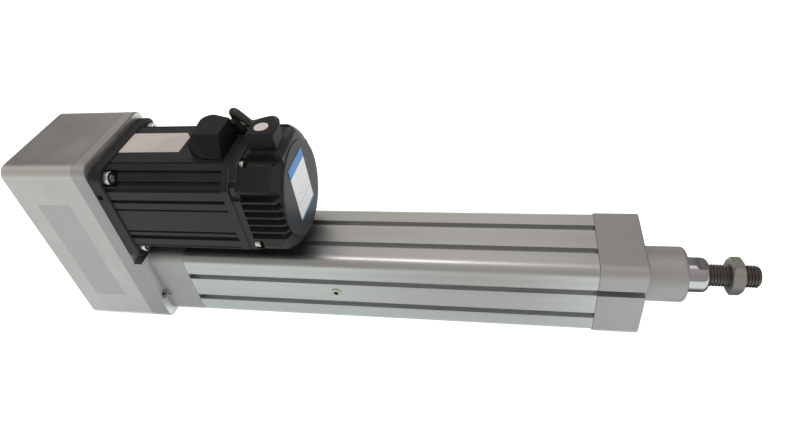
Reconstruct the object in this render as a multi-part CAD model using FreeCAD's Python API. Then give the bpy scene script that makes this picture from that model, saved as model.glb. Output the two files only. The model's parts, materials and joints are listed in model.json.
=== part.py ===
import FreeCAD, Part
import math
import os

V = FreeCAD.Vector
os.makedirs("parts", exist_ok=True)

# Electric cylinder with a motor folded back over it and a belt drive at the rear.
# Millimetres. +X points out along the piston rod, +Z up towards the motor, and the
# origin is on the rod's axis at the front cap's mounting face.

# ---- driving dimensions -------------------------------------------------------
CAP_W, CAP_R = 66.0, 8.0            # front cap, square section and corner radius
CAP_LEN = 31.5
NOSE_D, NOSE_L, NOSE_EDGE = 40.0, 31.0, 2.8
ROD_D, ROD_BORE, ROD_END = 25.0, 17.5, 46.8
ROD_FLAT = 22.0                     # across the two wrench flats
FLAT_TURN = 90.0                    # direction of the first wrench flat, degrees from +Y
THREAD_D, THREAD_END = 16.0, 80.6   # M16 rod thread
NUT_AF, NUT_X0, NUT_X1 = 24.0, 60.7, 69.0
FIXING_SQUARE = 46.5                # square of the four M8 fixing threads
TUBE_W, TUBE_R, TUBE_LEN, TUBE_BORE = 65.0, 8.75, 311.0, 50.0
SLOT_OFFSET, SLOT_MOUTH, SLOT_LIP = 12.0, 5.4, 1.5
SLOT_ROOM, SLOT_DEPTH = 7.4, 6.2
BLOCK_LEN = 29.5
PLATE_THICK, PLATE_THIN, PLATE_STEP_Z = 15.4, 9.9, 32.8
COVER_LEN, COVER_WALL = 58.0, 4.6
HOUSING_W, HOUSING_BOTTOM, HOUSING_TOP, HOUSING_R = 82.5, -33.0, 122.8, 8.0
CENTRES = 77.5                      # belt centre distance
STROKE, LEAD = 200.0, 10.0          # rod travel and screw lead
SCREW_D, JOURNAL_D = 15.6, 12.0
TEETH, PITCH = 30, 5.0              # both pulleys
MOTOR_W, MOTOR_PILOT, MOTOR_SHAFT_D = 80.0, 70.0, 19.0
MOTOR_BOLT_SQUARE = 63.64           # 90 mm bolt circle
STATOR_W = 77.4

X_CAP = -CAP_LEN
X_TUBE = X_CAP - TUBE_LEN
X_BLOCK = X_TUBE - BLOCK_LEN
X_PLATE = X_BLOCK - PLATE_THICK
X_STEP = X_PLATE + PLATE_THIN
X_COVER = X_PLATE - COVER_LEN
MZ = CENTRES                        # height of the motor's axis
X_FLANGE = X_STEP + 8.3
X_STATOR = -281.5
X_SHIELD = -270.5
X_END, X_BELL = -242.4, -241.0      # end of the bell's body and its raised disc
BOLT_SEAT = X_FLANGE - 1.8


# ---- small helpers ------------------------------------------------------------
def box(x0, x1, y0, y1, z0, z1):
    return Part.makeBox(x1 - x0, y1 - y0, z1 - z0, V(x0, y0, z0))


def cyl(x0, x1, r, y=0.0, z=0.0):
    return Part.makeCylinder(r, x1 - x0, V(x0, y, z), V(1, 0, 0))


def ring(x0, x1, r_in, r_out, y=0.0, z=0.0):
    return cyl(x0, x1, r_out, y, z).cut(cyl(x0 - 1, x1 + 1, r_in, y, z))


def prism(points, x0, x1):
    """A closed outline in (y, z), pushed from x0 to x1."""
    wire = Part.makePolygon([V(x0, y, z) for y, z in points + points[:1]])
    return Part.Face(wire).extrude(V(x1 - x0, 0, 0))


def rounded(x0, x1, y0, y1, z0, z1, r):
    """A block along X whose four long edges have the radius r."""
    b = box(x0, x1, y0, y1, z0, z1)
    edges = [
        e for e in b.Edges
        if abs(e.Vertexes[0].X - e.Vertexes[1].X) > 1e-6
    ]
    return b.makeFillet(r, edges)


def end_edges(shape, x, tol=1e-4):
    """The edges that lie whole in the plane at x."""
    return [
        e for e in shape.Edges
        if abs(e.BoundBox.XMin - x) < tol and abs(e.BoundBox.XMax - x) < tol
    ]


def hexagon(x0, x1, af, y=0.0, z=0.0, turn=0.0):
    r = af / math.sqrt(3)
    return prism(
        [
            (y + r * math.cos(math.radians(turn + 60 * i)), z + r * math.sin(math.radians(turn + 60 * i)))
            for i in range(6)
        ],
        x0,
        x1,
    )


def cut_all(shape, tools):
    return shape.cut(Part.makeCompound(tools)) if tools else shape


def save(shape, name, pieces=1):
    solids = shape.Solids
    assert shape.isValid(), name
    assert len(solids) == pieces, (name, len(solids))
    (solids[0] if pieces == 1 else Part.makeCompound(solids)).exportStep("parts/" + name + ".step")


CORNERS = [(sy * FIXING_SQUARE / 2, sz * FIXING_SQUARE / 2) for sy in (-1, 1) for sz in (-1, 1)]
MOTOR_CORNERS = [
    (sy * MOTOR_BOLT_SQUARE / 2, MZ + sz * MOTOR_BOLT_SQUARE / 2) for sy in (-1, 1) for sz in (-1, 1)
]
COVER_SCREWS = [(-35.2, -8.2), (35.2, -8.2), (-36.4, 58.0), (36.4, 58.0)]

# ---- front cap with its nose --------------------------------------------------
half = CAP_W / 2
cap = rounded(X_CAP, 0, -half, half, -half, half, CAP_R)
cap = cap.makeFillet(0.9, end_edges(cap, 0))
cap = cap.makeChamfer(0.3, end_edges(cap, X_CAP))
nose = cyl(-2, NOSE_L, NOSE_D / 2)
nose = nose.makeFillet(NOSE_EDGE, end_edges(nose, NOSE_L))
cap = cap.fuse(nose).removeSplitter()
tools = [
    cyl(X_CAP - 1, NOSE_L + 1, 13.5),                 # clear of the rod
    cyl(-26, 18, 15.02),                              # seat of the guide bush
    cyl(22, 28, 16.52),                               # seat of the wiper
]
for y, z in CORNERS:
    tools += [cyl(X_CAP - 1, 1, 4.3, y, z), cyl(-15, 1, 6.6, y, z)]
# the sensor slot runs out through the cap on one face only
tools.append(box(X_CAP - 1, 1, -half - 1, -half + 6.6, SLOT_OFFSET - 2.9, SLOT_OFFSET + 2.9))
cap = cut_all(cap, tools)
save(cap, "front_cap")

# collar screws: their heads carry the female fixing threads
screws = []
for y, z in CORNERS:
    s = cyl(-15, -1.0, 6.5, y, z).fuse(cyl(X_CAP - 32, -15, 4.0, y, z))
    s = s.cut(cyl(-14, 0, 3.4, y, z))
    screws.append(s)
save(Part.makeCompound(screws), "front_cap_screws", 4)

bush = ring(-26, 18, ROD_D / 2 + 0.05, 15.0)
save(bush, "rod_guide_bush")
wiper = ring(22, 28, ROD_D / 2 + 0.08, 16.5)
save(wiper, "rod_wiper")

# ---- profile tube with two sensor slots on every face -------------------------
half = TUBE_W / 2
tube = rounded(X_TUBE, X_CAP, -half, half, -half, half, TUBE_R)
tube = tube.makeChamfer(0.25, end_edges(tube, X_TUBE) + end_edges(tube, X_CAP))
tools = [cyl(X_TUBE - 1, X_CAP + 1, TUBE_BORE / 2)]
tools.append(box(X_TUBE - 1, X_CAP + 1, -3.0, 3.0, -26.6, 26.6))   # two key grooves of the bore
for y, z in CORNERS:
    tools.append(cyl(X_TUBE - 1, X_CAP + 1, 4.05, y, z))
m, w = SLOT_MOUTH / 2, SLOT_ROOM / 2
for off in (-SLOT_OFFSET, SLOT_OFFSET):
    # T outline in (along the face, depth)
    t = [
        (-m, -1.0), (m, -1.0), (m, SLOT_LIP), (w, SLOT_LIP + 0.5), (w, SLOT_DEPTH - 0.8),
        (w - 0.8, SLOT_DEPTH), (-w + 0.8, SLOT_DEPTH), (-w, SLOT_DEPTH - 0.8), (-w, SLOT_LIP + 0.5), (-m, SLOT_LIP),
    ]
    tools.append(prism([(off + a, half - d) for a, d in t], X_TUBE - 1, X_CAP + 1))
    tools.append(prism([(off + a, -half + d) for a, d in t], X_TUBE - 1, X_CAP + 1))
    tools.append(prism([(half - d, off + a) for a, d in t], X_TUBE - 1, X_CAP + 1))
    tools.append(prism([(-half + d, off + a) for a, d in t], X_TUBE - 1, X_CAP + 1))
# port of the grease plug, in the middle of the side face
PLUG_X = -222.0
tools.append(Part.makeCylinder(4.3, 4, V(PLUG_X, -half - 1, 0), V(0, 1, 0)))
tools.append(Part.makeCylinder(2.65, 12, V(PLUG_X, -half - 1, 0), V(0, 1, 0)))
tube = cut_all(tube, tools)
save(tube, "profile_tube")

plug = Part.makeCylinder(4.25, 3.6, V(PLUG_X, -half - 0.6, 0), V(0, 1, 0))
plug = plug.makeFillet(0.5, [e for e in plug.Edges if abs(e.BoundBox.YMax + half + 0.6) < 1e-4])
plug = plug.fuse(Part.makeCylinder(2.6, 4.0, V(PLUG_X, -half + 3.0, 0), V(0, 1, 0)))
sock = hexagon(0, 2.6, 3.6)
sock.rotate(V(0, 0, 0), V(0, 0, 1), 90)
sock.translate(V(PLUG_X, -half - 0.7, 0))
plug = plug.cut(sock)
save(plug, "grease_plug")

save(ring(X_CAP - 4, X_CAP, 13.6, 24.6), "front_bumper")
save(ring(X_TUBE, X_TUBE + 4, 10.0, 24.6), "rear_bumper")

# ---- rear bearing block -------------------------------------------------------
block = rounded(X_BLOCK, X_TUBE, -half, half, -half, half, TUBE_R)
block = block.makeFillet(0.35, end_edges(block, X_TUBE))
tools = [
    cyl(X_BLOCK - 1, X_BLOCK + 3, 22.0),              # seat of the bearing retainer
    cyl(X_BLOCK - 1, X_BLOCK + 23, 16.02),            # seat of the bearings
    cyl(X_BLOCK - 1, X_TUBE + 1, 12.0),
]
for y, z in CORNERS:
    tools.append(cyl(X_BLOCK - 1, X_TUBE + 1, 4.4, y, z))
for y, z in COVER_SCREWS[:2]:
    tools.append(cyl(X_BLOCK - 1, X_BLOCK + 5.5, 4.6, y, z))   # reliefs beside the cover screws
block = cut_all(block, tools)
save(block, "rear_block")

b0 = X_BLOCK + 3
save(
    Part.makeCompound([ring(b0, b0 + 10, 12.9, 16.0), ring(b0 + 10, b0 + 20, 12.9, 16.0)]),
    "screw_bearing_outer_rings", 2,
)
save(
    Part.makeCompound([ring(b0, b0 + 10, JOURNAL_D / 2 + 0.01, 9.1), ring(b0 + 10, b0 + 20, JOURNAL_D / 2 + 0.01, 9.1)]),
    "screw_bearing_inner_rings", 2,
)
save(ring(X_BLOCK, b0, 12.6, 21.9), "bearing_retainer")

# ---- motor plate: thick behind the cylinder, thin behind the motor -------------
hy = HOUSING_W / 2
plate = rounded(X_PLATE, X_BLOCK, -hy, hy, HOUSING_BOTTOM, HOUSING_TOP, HOUSING_R)
plate = plate.makeChamfer(0.35, end_edges(plate, X_PLATE))
plate = plate.cut(box(X_STEP, X_BLOCK + 5, -hy - 5, hy + 5, PLATE_STEP_Z, HOUSING_TOP + 5))
edges = [
    e for e in plate.Edges
    if e.BoundBox.XLength < 1e-4 and (abs(e.BoundBox.XMin - X_BLOCK) < 1e-4 or abs(e.BoundBox.XMin - X_STEP) < 1e-4)
    and not (abs(e.BoundBox.XMin - X_STEP) < 1e-4 and e.BoundBox.ZLength < 1e-4 and abs(e.BoundBox.ZMin - PLATE_STEP_Z) < 1e-4)
]
plate = plate.makeChamfer(0.8, edges)
tools = [
    cyl(X_PLATE - 1, X_BLOCK + 1, 14.0),
    cyl(X_PLATE - 1, X_STEP + 1, MOTOR_PILOT / 2 + 0.03, 0, MZ),
]
for y, z in CORNERS:
    tools += [cyl(X_PLATE - 1, X_BLOCK + 1, 4.4, y, z), cyl(X_PLATE - 1, X_PLATE + 8.6, 6.8, y, z)]
for y, z in MOTOR_CORNERS:
    tools.append(cyl(X_PLATE - 1, X_STEP + 1, 3.02, y, z))
for i, (y, z) in enumerate(COVER_SCREWS):
    face = X_BLOCK if i < 2 else X_STEP
    tools += [cyl(X_PLATE - 1, face + 1, 2.1, y, z), cyl(face - 4.2, face + 1, 3.7, y, z)]
plate = cut_all(plate, tools)
save(plate, "motor_plate")

screws = []
for y, z in CORNERS:
    s = cyl(X_PLATE + 0.6, X_PLATE + 8.6, 6.5, y, z).fuse(cyl(X_PLATE + 8.6, X_TUBE + 30, 4.0, y, z))
    screws.append(s.cut(hexagon(X_PLATE, X_PLATE + 4.6, 6, y, z)))
save(Part.makeCompound(screws), "rear_block_screws", 4)

# ---- belt cover ---------------------------------------------------------------
cover = rounded(X_COVER, X_PLATE, -hy, hy, HOUSING_BOTTOM, HOUSING_TOP, HOUSING_R)
cover = cover.makeFillet(1.2, end_edges(cover, X_COVER))
cover = cover.makeChamfer(0.35, end_edges(cover, X_PLATE))
w = COVER_WALL
room = rounded(
    X_COVER + w, X_PLATE + 1, -hy + w, hy - w, HOUSING_BOTTOM + w, HOUSING_TOP - w, HOUSING_R - w + 1.6
)
cover = cover.cut(room)
bosses = []
for y, z in COVER_SCREWS:
    side = 1 if y > 0 else -1
    b = box(X_COVER + w - 1, X_PLATE, min(side * (hy - 1), side * 32.0), max(side * (hy - 1), side * 32.0), z - 4.4, z + 4.4)
    bosses.append(b)
cover = cover.fuse(bosses).removeSplitter()
BADGE = (-430.2, -402.5, -5.0, 92.3)                  # plain badge let into the near side
tools = [box(BADGE[0], BADGE[1], -hy - 1, -hy + 0.25, BADGE[2], BADGE[3])]
for y, z in COVER_SCREWS:
    tools.append(cyl(X_PLATE - 14, X_PLATE + 1, 2.02, y, z))
cover = cut_all(cover, tools)
save(cover, "belt_cover")
save(box(BADGE[0] + 0.02, BADGE[1] - 0.02, -hy, -hy + 0.25, BADGE[2] + 0.02, BADGE[3] - 0.02), "cover_badge")

screws = []
for i, (y, z) in enumerate(COVER_SCREWS):
    face = X_BLOCK if i < 2 else X_STEP
    s = cyl(face - 4.2, face - 0.4, 3.5, y, z).fuse(cyl(X_PLATE - 12, face - 4.2, 2.0, y, z))
    screws.append(s.cut(hexagon(face - 2.6, face + 1, 3, y, z)))
save(Part.makeCompound(screws), "cover_screws", 4)

# ---- screw, nut, piston and rod ------------------------------------------------
SCREW_FRONT = -60.0
PULLEY_X0, PULLEY_X1 = -421.0, -399.0
screw = cyl(X_TUBE - 6.5, SCREW_FRONT, SCREW_D / 2).fuse(cyl(PULLEY_X0 - 4, X_TUBE - 6.5, JOURNAL_D / 2))
screw = screw.fuse(cyl(SCREW_FRONT, SCREW_FRONT + 10, 5.0)).removeSplitter()
screw = screw.cut(box(PULLEY_X0 + 3, PULLEY_X1 - 3, -2.0, 2.0, JOURNAL_D / 2 - 2.5, 10))
save(screw, "ball_screw")
save(ring(SCREW_FRONT, SCREW_FRONT + 8, 5.02, 8.55), "screw_support_ring")
nut = hexagon(b0 - 9.5, b0, 19).cut(cyl(b0 - 20, b0 + 1, JOURNAL_D / 2 + 0.01))
save(nut, "bearing_lock_nut")


def pulley(z, bore, key):
    r = TEETH * PITCH / math.pi / 2 - 0.57
    p = cyl(PULLEY_X0, PULLEY_X1, r, 0, z)
    grooves = []
    for i in range(TEETH):
        a = 2 * math.pi * i / TEETH
        grooves.append(cyl(PULLEY_X0 - 1, PULLEY_X1 + 1, 1.5, (r - 0.55) * math.cos(a), z + (r - 0.55) * math.sin(a)))
    p = cut_all(p, grooves)
    for x in (PULLEY_X0, PULLEY_X1 - 1.6):
        p = p.fuse(cyl(x, x + 1.6, r + 3.0, 0, z))
    p = p.cut(cyl(PULLEY_X0 - 1, PULLEY_X1 + 1, bore + 0.01, 0, z))
    return p.cut(box(PULLEY_X0 + 3, PULLEY_X1 - 3, -key / 2, key / 2, z, z + bore + 2.6))


save(pulley(0, JOURNAL_D / 2, 4), "driven_pulley")
save(pulley(MZ, MOTOR_SHAFT_D / 2, 6), "drive_pulley")
save(box(PULLEY_X0 + 3.05, PULLEY_X1 - 3.05, -1.95, 1.95, JOURNAL_D / 2 - 2.45, JOURNAL_D / 2 + 2.5), "driven_pulley_key")
save(
    box(PULLEY_X0 + 3.05, PULLEY_X1 - 3.05, -2.95, 2.95, MZ + MOTOR_SHAFT_D / 2 - 3.45, MZ + MOTOR_SHAFT_D / 2 + 2.5),
    "drive_pulley_key",
)

r_in = TEETH * PITCH / math.pi / 2 - 0.57 + 0.35


def stadium(x0, x1, r):
    return cyl(x0, x1, r).fuse([cyl(x0, x1, r, 0, MZ), box(x0, x1, -r, r, 0, MZ)]).removeSplitter()


mid = (PULLEY_X0 + PULLEY_X1) / 2
save(stadium(mid - 7.5, mid + 7.5, r_in + 1.8).cut(stadium(mid - 9, mid + 9, r_in)), "timing_belt")

PISTON_X0, PISTON_X1 = X_TUBE + 7.0, X_TUBE + 62.0
piston = cyl(PISTON_X0, PISTON_X1, 24.6)
tools = [
    cyl(PISTON_X0 - 1, PISTON_X0 + 10, 23.02),            # seat of the nut's flange
    cyl(PISTON_X0 - 1, PISTON_X0 + 43, 14.05),            # room for the nut's body
    cyl(PISTON_X0 + 43 - 1, PISTON_X1 + 1, ROD_D / 2 + 0.01),
    ring(PISTON_X0 + 16, PISTON_X0 + 26, 22.5, 30),       # seat of the guide ring
    ring(PISTON_X0 + 32, PISTON_X0 + 38, 21.0, 30),       # seat of the magnet ring
    box(PISTON_X0 + 42, PISTON_X0 + 54, -3.0, 3.0, 20.0, 30),
    box(PISTON_X0 + 42, PISTON_X0 + 54, -3.0, 3.0, -30, -20.0),
]
for i in range(4):
    a = math.radians(45 + 90 * i)
    tools.append(cyl(PISTON_X0 + 5, PISTON_X0 + 15.5, 2.02, 18.5 * math.cos(a), 18.5 * math.sin(a)))
piston = cut_all(piston, tools)
save(piston, "piston")
save(ring(PISTON_X0 + 16.05, PISTON_X0 + 25.95, 22.52, TUBE_BORE / 2 - 0.05), "guide_ring")
save(ring(PISTON_X0 + 32.05, PISTON_X0 + 37.95, 21.02, 24.4), "magnet_ring")
save(
    Part.makeCompound(
        [
            box(PISTON_X0 + 42.05, PISTON_X0 + 53.95, -2.9, 2.9, 20.0, 26.2),
            box(PISTON_X0 + 42.05, PISTON_X0 + 53.95, -2.9, 2.9, -26.2, -20.0),
        ]
    ),
    "anti_rotation_keys", 2,
)
bnut = cyl(PISTON_X0, PISTON_X0 + 10, 23.0).fuse(cyl(PISTON_X0 + 10, PISTON_X0 + 42, 14.0)).removeSplitter()
tools = [cyl(PISTON_X0 - 1, PISTON_X0 + 43, SCREW_D / 2 + 0.05)]
screws = []
for i in range(4):
    a = math.radians(45 + 90 * i)
    y, z = 18.5 * math.cos(a), 18.5 * math.sin(a)
    tools += [cyl(PISTON_X0 - 1, PISTON_X0 + 11, 2.2, y, z), cyl(PISTON_X0 - 1, PISTON_X0 + 4.6, 3.8, y, z)]
    s = cyl(PISTON_X0 + 0.4, PISTON_X0 + 4.6, 3.5, y, z).fuse(cyl(PISTON_X0 + 4.6, PISTON_X0 + 15, 2.0, y, z))
    screws.append(s.cut(hexagon(PISTON_X0, PISTON_X0 + 2.6, 3, y, z)))
save(cut_all(bnut, tools), "ball_nut")
save(Part.makeCompound(screws), "ball_nut_screws", 4)

rod = cyl(PISTON_X0 + 43.2, ROD_END, ROD_D / 2)
rod = rod.makeFillet(4.3, end_edges(rod, ROD_END))
rod = rod.cut(cyl(PISTON_X0, 30.0, ROD_BORE / 2)).cut(cyl(29.0, ROD_END + 1, THREAD_D / 2 - 0.39))
for k in (0, 180):
    # a milled flat with the cutter's run-out
    flat = box(40.4, ROD_END + 2, ROD_FLAT / 2, 20, -12, 12)
    flat = flat.fuse(Part.makeCylinder(5.0, 24, V(40.4, ROD_FLAT / 2 + 5.0, -12), V(0, 0, 1)))
    flat.rotate(V(0, 0, 0), V(1, 0, 0), FLAT_TURN + k)
    rod = rod.cut(flat)
save(rod, "piston_rod")

stud = cyl(6, 29.9, ROD_BORE / 2 - 0.01).fuse(cyl(NUT_X1, THREAD_END, THREAD_D / 2))
stud = stud.fuse(cyl(29.9, NUT_X1, THREAD_D / 2 - 0.4)).removeSplitter()   # nearer the thread's mean size up to the nut
stud = stud.makeChamfer(1.5, end_edges(stud, THREAD_END))
save(stud, "rod_stud")

rnut = hexagon(NUT_X0, NUT_X1, NUT_AF, turn=-8.0)
ch = NUT_AF / 2 * 0.97
cone = Part.makeCone(ch + 20 * 1.9, ch, 20, V(NUT_X1 - 20, 0, 0), V(1, 0, 0))
cone2 = Part.makeCone(ch, ch + 20 * 1.9, 20, V(NUT_X0, 0, 0), V(1, 0, 0))
rnut = rnut.common(cone).common(cone2).cut(cyl(NUT_X0 - 1, NUT_X1 + 1, THREAD_D / 2 - 0.39))
save(rnut, "rod_nut")

# ---- motor: flange, stator housing, rear shield ---------------------------------
h = MOTOR_W / 2
flange = rounded(X_STEP, X_FLANGE, -h, h, MZ - h, MZ + h, 7.0)
flange = flange.makeFillet(0.6, end_edges(flange, X_FLANGE))
flange = flange.fuse([cyl(X_STEP - 2.9, X_STEP + 1, MOTOR_PILOT / 2 - 0.02, 0, MZ), cyl(X_FLANGE - 1, X_FLANGE + 9, 27.0, 0, MZ)])
flange = flange.removeSplitter()
tools = [
    cyl(X_STEP - 5, X_FLANGE + 20, 13.0, 0, MZ),
    cyl(X_STEP - 5, X_STEP + 1.2, 14.0, 0, MZ),
    cyl(X_STEP + 1.5, X_FLANGE + 20, 23.52, 0, MZ),
]
for y, z in MOTOR_CORNERS:
    tools += [cyl(X_STEP - 1, X_FLANGE + 1, 3.3, y, z), cyl(BOLT_SEAT, X_FLANGE + 1, 6.0, y, z)]
# small drain notches on the near and far sides, against the plate
for s in (-1, 1):
    tools.append(box(X_STEP - 1, X_STEP + 4.4, min(s * 36.5, s * 45), max(s * 36.5, s * 45), MZ + 18.8, MZ + 23.2))
flange = cut_all(flange, tools)
save(flange, "motor_flange")
save(ring(X_STEP - 2.9, X_STEP + 1.0, MOTOR_SHAFT_D / 2 + 0.08, 13.98, 0, MZ), "shaft_seal")

bolts = []
for y, z in MOTOR_CORNERS:
    head = cyl(BOLT_SEAT, BOLT_SEAT + 6.0, 5.0, y, z)
    head = head.makeFillet(0.7, end_edges(head, BOLT_SEAT + 6.0))
    s = head.fuse(cyl(X_PLATE + 0.5, BOLT_SEAT, 3.0, y, z))
    bolts.append(s.cut(hexagon(BOLT_SEAT + 2.8, BOLT_SEAT + 7, 5, y, z, 15)))
save(Part.makeCompound(bolts), "motor_bolts", 4)

h = STATOR_W / 2
# the slanted, ribbed corner from a side face to the top or bottom face: (way along it, depth);
# the ribs stand out to the slant of the rear shield
RIBS = [
    (0, 0), (0.4, 1.6), (2.3, 1.6), (2.6, -1.6), (4.2, -2.0), (4.5, 1.9), (7.4, 1.9), (7.8, -2.2), (13.1, -2.3),
    (13.4, 1.6), (15.1, 1.6), (15.4, -2.1), (20.1, -1.2), (20.4, 0.8), (21.3, 0.8),
]
side, top = V(h, 24.6, 0), V(22.2, h, 0)
along = (top - side).normalize()
inward = V(-along.y, along.x, 0)
corner = [side + along * t + inward * d for t, d in RIBS] + [top]
section = []
for sy, sz in ((1, 1), (-1, 1), (-1, -1), (1, -1)):
    points = [(sy * p.x, MZ + sz * p.y) for p in corner]
    section += points if sy == sz else points[::-1]
stator = prism(section, X_FLANGE, X_STATOR)
tools = [cyl(X_FLANGE - 1, X_STATOR + 1, 33.05, 0, MZ)]
for z0, z1, d in ((14.8, 17.9, 2.8), (7.8, 9.6, 1.5), (-12.7, -10.8, 1.5), (-19.2, -15.4, 2.8)):
    for s in (-1, 1):
        tools.append(box(X_FLANGE - 1, X_STATOR + 1, min(s * (h - d), s * 50), max(s * (h - d), s * 50), MZ + z0, MZ + z1))
for y, z in MOTOR_CORNERS:
    tools.append(cyl(X_FLANGE - 1, X_FLANGE + 9.5, 6.1, y, z))
stator = cut_all(stator, tools)
save(stator, "stator_housing")



def eight_sided(x0, x1, h, c):
    """A square prism with slanted corners, about the motor's axis."""
    pts = [(-h, -c), (-c, -h), (c, -h), (h, -c), (h, c), (c, h), (-c, h), (-h, c)]
    return prism([(y, MZ + z) for y, z in pts], x0, x1)


mid = (X_STATOR + X_SHIELD) / 2
# the front half stands a little proud of the housing, and the rear half steps back at the sides
shield = eight_sided(X_STATOR, mid, 39.5, 26.2)
shield = shield.makeChamfer(0.6, end_edges(shield, X_STATOR))
rear = [(-38.5, -26.2), (-26.2, -38.5), (26.2, -38.5), (38.5, -26.2), (38.5, 26.2), (26.2, 39.5), (-26.2, 39.5), (-38.5, 26.2)]
shield = shield.fuse(prism([(y, MZ + z) for y, z in rear], mid, X_SHIELD)).removeSplitter()
REAR_SCREWS = [(-35.6, -22.5), (-22.5, 35.6), (35.6, 22.5), (22.5, -35.6)]
tools = [cyl(X_STATOR - 1, X_SHIELD + 1, 10.0, 0, MZ), cyl(X_SHIELD - 10.5, X_SHIELD + 1, 16.02, 0, MZ)]
for y, z in REAR_SCREWS:
    tools.append(cyl(X_STATOR - 1, X_SHIELD + 1, 2.2, y, MZ + z))
# the rear half is let in at two opposite corners, and a small hook stands in each recess
hooks = []
for s in (-1, 1):
    out = [(46, -17.4), (36.2, -17.4), (36.2, -25.2), (32.4, -29.0), (34.2, -30.9), (46, -42.7)]
    tools.append(prism([(s * y, MZ + s * z) for y, z in out], mid, X_SHIELD + 1))
    hook = [(35.9, -22.6), (38.6, -22.6), (38.6, -28.4), (37.7, -28.4), (37.7, -23.6), (35.9, -23.6)]
    hooks.append(prism([(s * y, MZ + s * z) for y, z in hook], X_SHIELD - 3.6, X_SHIELD - 0.7))
shield = cut_all(shield, tools).fuse(hooks).removeSplitter()
save(shield, "motor_rear_shield")

screws = []
for y, z in REAR_SCREWS:
    head = cyl(X_SHIELD, X_SHIELD + 3.6, 3.4, y, MZ + z)
    head = head.makeFillet(0.9, end_edges(head, X_SHIELD + 3.6))
    s = head.fuse(cyl(X_STATOR + 0.5, X_SHIELD, 2.0, y, MZ + z))
    s = s.cut(box(X_SHIELD + 2.4, X_SHIELD + 5, y - 0.5, y + 0.5, MZ + z - 2.4, MZ + z + 2.4))
    s = s.cut(box(X_SHIELD + 2.4, X_SHIELD + 5, y - 2.4, y + 2.4, MZ + z - 0.5, MZ + z + 0.5))
    screws.append(s)
save(Part.makeCompound(screws), "motor_rear_screws", 4)

# ---- motor: finned rear bell ----------------------------------------------------
bell = eight_sided(X_SHIELD, X_END, 38.5, 25.6)
bell = bell.makeFillet(3.6, [e for e in bell.Edges if e.BoundBox.XLength > 1.0])
bell = bell.makeFillet(3.3, end_edges(bell, X_END))
# its slanted corners run out into a dome around the round end face
DOME = [(X_SHIELD - 1, 46.8), (-253.5, 46.8), (-246.6, 42.9), (X_END, 35.9)]
a, b, c, d = [V(x, 0, MZ + r) for x, r in DOME]
foot, start = V(X_END, 0, MZ), V(X_SHIELD - 1, 0, MZ)
dome = Part.Wire(
    [Part.LineSegment(start, a).toShape(), Part.LineSegment(a, b).toShape(), Part.Arc(b, c, d).toShape()]
    + [Part.LineSegment(d, foot).toShape(), Part.LineSegment(foot, start).toShape()]
)
bell = bell.common(Part.Face(dome).revolve(V(0, 0, MZ), V(1, 0, 0), 360))
# gaps between the side fins: (bottom, top) from the motor's axis; the fins thicken inwards
GAPS = [(16.9, 24.0), (10.25, 15.3), (3.6, 8.65), (-3.05, 2.0), (-9.7, -4.65), (-16.4, -11.3)]
gaps = []
for z0, z1 in GAPS:
    for s in (-1, 1):
        out = [(s * 50, z0 - 1.1), (s * 50, z1 + 1.1), (s * 38.5, z1), (s * 32.6, z1 - 0.7), (s * 32.6, z0 + 0.7), (s * 38.5, z0)]
        gaps.append(prism([(y, MZ + z) for y, z in out], X_SHIELD - 1, X_END + 1))
for s in (-1, 1):
    gaps.append(box(X_SHIELD - 1, X_END + 1, min(s * 16.5, s * 23.4), max(s * 16.5, s * 23.4), MZ + 35.2, MZ + 60))
bell = cut_all(bell, gaps)
core = cyl(X_SHIELD, X_END, 33.4, 0, MZ)
# the round end face stands a little proud
face = cyl(X_BELL - 3.4, X_BELL, 35.4, 0, MZ)
face = face.makeFillet(0.6, end_edges(face, X_BELL))
PAD_TOP = MZ + 41.5                                   # seat of the encoder connector
PAD_END = X_BELL - 0.8
pad = box(X_SHIELD + 3.5, PAD_END, -16.5, 16.5, MZ + 20, PAD_TOP)
pad = pad.makeFillet(5.2, [e for e in pad.Edges if abs(e.BoundBox.XMin - PAD_END) < 1e-4 and abs(e.BoundBox.ZMin - PAD_TOP) < 1e-4])
bell = bell.fuse([core, face, pad]).removeSplitter()
tools = [cyl(X_SHIELD - 1, -246.0, 30.0, 0, MZ)]
for y, z in REAR_SCREWS:
    tools.append(cyl(X_SHIELD - 1, X_SHIELD + 6.5, 4.6, y, MZ + z))
bell = cut_all(bell, tools)
save(bell, "motor_rear_bell")

# ---- motor: what turns and what it turns in --------------------------------------
shaft = cyl(-426.0, X_STEP + 1.5, MOTOR_SHAFT_D / 2, 0, MZ)
shaft = shaft.fuse([cyl(X_STEP + 1.5, -288.0, 10.0, 0, MZ), cyl(-288.0, -262.0, 6.0, 0, MZ)]).removeSplitter()
shaft = shaft.makeChamfer(0.8, end_edges(shaft, -426.0))
shaft = shaft.cut(box(PULLEY_X0 + 3, PULLEY_X1 - 3, -3.0, 3.0, MZ + MOTOR_SHAFT_D / 2 - 3.5, MZ + 20))
save(shaft, "motor_shaft")
save(ring(-350.0, -296.0, 10.01, 22.0, 0, MZ), "rotor_core")
save(ring(-350.0, -296.0, 22.6, 33.0, 0, MZ), "stator_core")
save(Part.makeCompound([ring(-359.0, -350.0, 24.0, 31.5, 0, MZ), ring(-296.0, -287.0, 24.0, 31.5, 0, MZ)]), "stator_windings", 2)
f0 = X_STEP + 1.5
r0 = X_SHIELD - 10.5
save(Part.makeCompound([ring(f0, f0 + 14, 18.5, 23.5, 0, MZ), ring(r0, r0 + 10, 12.6, 16.0, 0, MZ)]), "motor_bearing_outer_rings", 2)
save(Part.makeCompound([ring(f0, f0 + 14, 10.01, 14.5, 0, MZ), ring(r0, r0 + 10, 6.01, 9.2, 0, MZ)]), "motor_bearing_inner_rings", 2)
save(ring(-266.0, -264.0, 6.01, 18.0, 0, MZ), "encoder_disc")
save(cyl(-258.0, -256.4, 29.98, 0, MZ), "encoder_board")

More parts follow.
